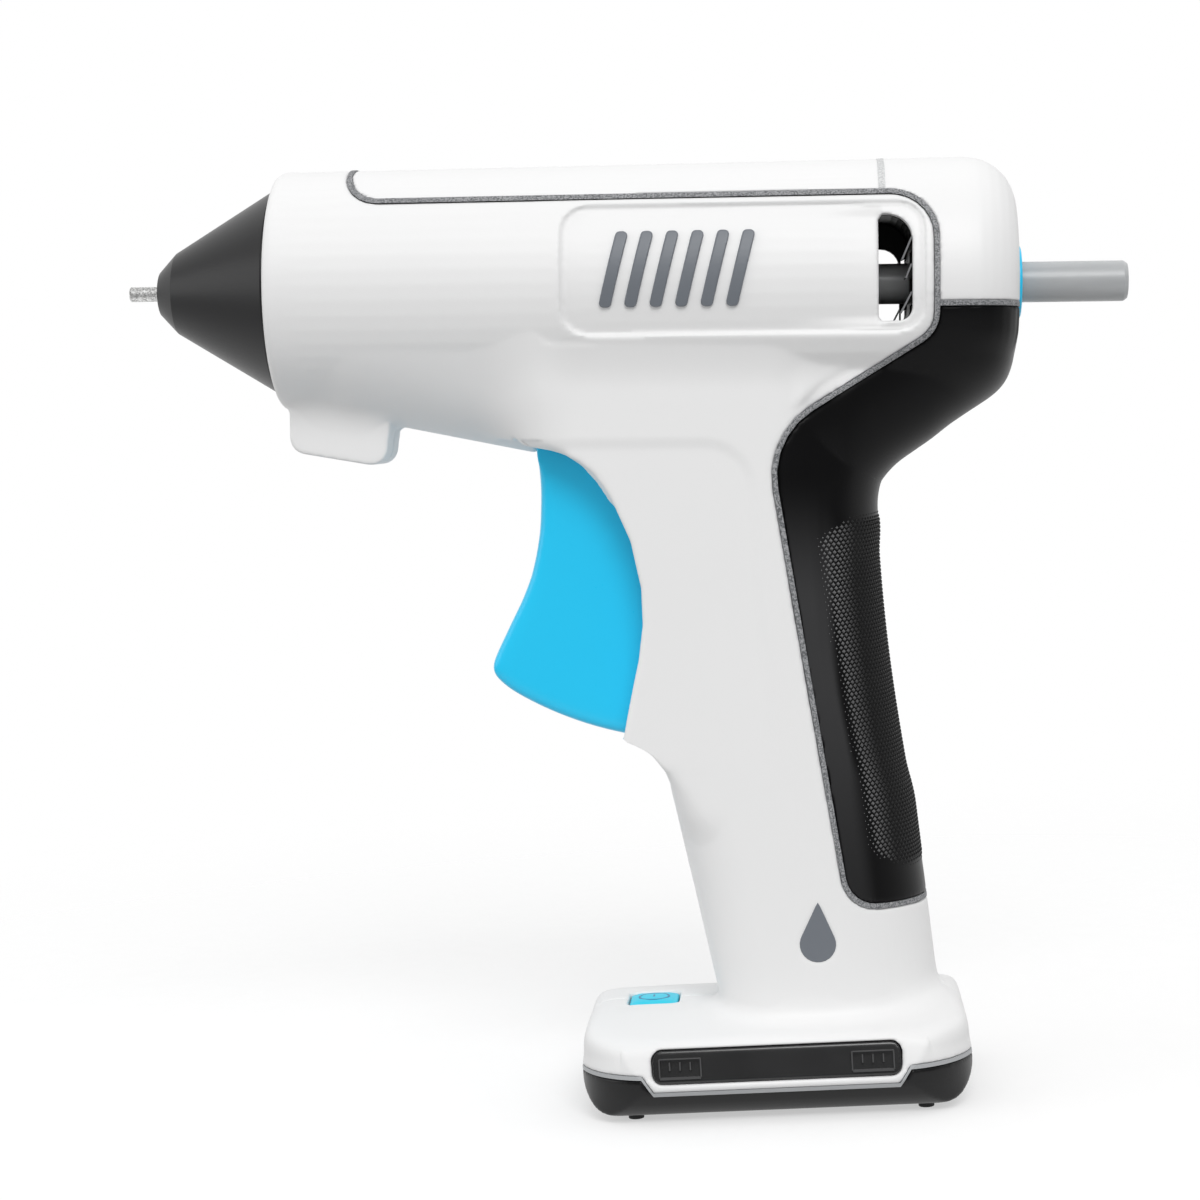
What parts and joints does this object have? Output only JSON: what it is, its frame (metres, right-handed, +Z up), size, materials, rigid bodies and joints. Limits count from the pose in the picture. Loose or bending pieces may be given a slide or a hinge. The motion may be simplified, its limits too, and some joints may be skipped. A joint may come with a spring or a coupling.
{
  "type": "cordless glue gun",
  "caption": "Cordless hot glue gun on a flat base, with a squeeze trigger that feeds a slim glue stick through a heated nozzle.",
  "frame": {"origin": "on the table, below the middle of the gun's overall length and width", "axes": "+X from the nozzle to the glue stick's rear end, +Z up; the barrel's own axis leans back by 2.9 degrees, nose up"},
  "size_m": [0.18, 0.0538, 0.1715],
  "materials": {
    "shell_white": "satin moulded ABS",
    "cover_white": "satin moulded ABS",
    "trim_grey": "fine granular moulded texture",
    "grip_rubber": "soft overmoulded rubber with a fine raised field",
    "cone_rubber": "satin silicone rubber",
    "blue_plastic": "satin moulded ABS",
    "tip_metal": "turned, slightly rough",
    "chamber_metal": "die cast",
    "ceramic": "fired",
    "insulator": "moulded heat-proof plastic",
    "silicone": "moulded",
    "steel": "bright",
    "stick_grey": "translucent hot-melt glue",
    "liner_black": "moulded",
    "carriage_grey": "moulded acetal",
    "badge_grey": "moulded",
    "cell_sleeve": "shrink sleeve over a steel can",
    "contact_metal": "plated strip",
    "lead_jacket": "silicone jacket",
    "board_green": "glass-fibre laminate",
    "switch_black": "moulded",
    "lamp": "clear resin",
    "window_smoke": "smoked clear plastic",
    "tray_black": "satin moulded ABS",
    "foot_rubber": "moulded"
  },
  "bodies": {
    "housing": {"left_shell": "shell_white", "right_shell": "shell_white", "top_cover": "cover_white", "rear_cap": "cover_white", "left_trim": "trim_grey", "right_trim": "trim_grey", "rear_grip": "grip_rubber", "inlet_ring": "blue_plastic", "nozzle_sleeve": "cone_rubber", "nozzle": "tip_metal", "melt_chamber": "chamber_metal", "heating_element": "ceramic", "element_clip": "steel", "thermal_cutout": "steel", "front_support": "insulator", "rear_support": "insulator", "inlet_sleeve": "silicone", "return_spring": "steel", "trigger_pin": "steel", "window_liner": "liner_black", "left_badge": "badge_grey", "right_badge": "badge_grey", "left_mark": "badge_grey", "right_mark": "badge_grey", "battery_cell": "cell_sleeve", "cell_holder": "carriage_grey", "upper_contact": "contact_metal", "lower_contact": "contact_metal", "heater_leads": "lead_jacket", "circuit_board": "board_green", "button_switch": "switch_black", "status_lamps": "lamp", "charge_socket": "steel", "left_status_window": "window_smoke", "right_status_window": "window_smoke", "base_tray": "tray_black", "base_band": "trim_grey", "feet": "foot_rubber", "shell_screws": "steel", "tray_screws": "steel"},
    "trigger": {"trigger": "blue_plastic"},
    "feed": {"carriage": "carriage_grey", "gripper": "steel"},
    "stick": {"glue_stick": "stick_grey"},
    "button": {"power_button": "blue_plastic"}
  },
  "joints": [
    {"name": "trigger_squeeze", "type": "hinge", "parent": "housing", "child": "trigger", "pos_m": [0.01153, 0, 0.12859], "axis": [0, -1, 0], "range_deg": [0, 12], "stiffness_Nm_per_rad": 0.8, "springref_deg": -17.19},
    {"name": "carriage_slide", "type": "slide", "parent": "housing", "child": "feed", "axis": [-0.9987, 0, 0.0506], "range_m": [0, 0.0037], "deforming": ["return_spring"]},
    {"name": "stick_slide", "type": "slide", "parent": "feed", "child": "stick", "axis": [0.9987, 0, -0.0506], "range_m": [0, 0.04]},
    {"name": "button_press", "type": "slide", "parent": "housing", "child": "button", "axis": [0, 0, -1], "range_m": [0, 0.0006], "stiffness_N_per_m": 800, "springref_m": -0.001}
  ],
  "couplings": [
    {"joint": "trigger_squeeze", "follows": "carriage_slide", "rad_per_m": 56.18}
  ]
}
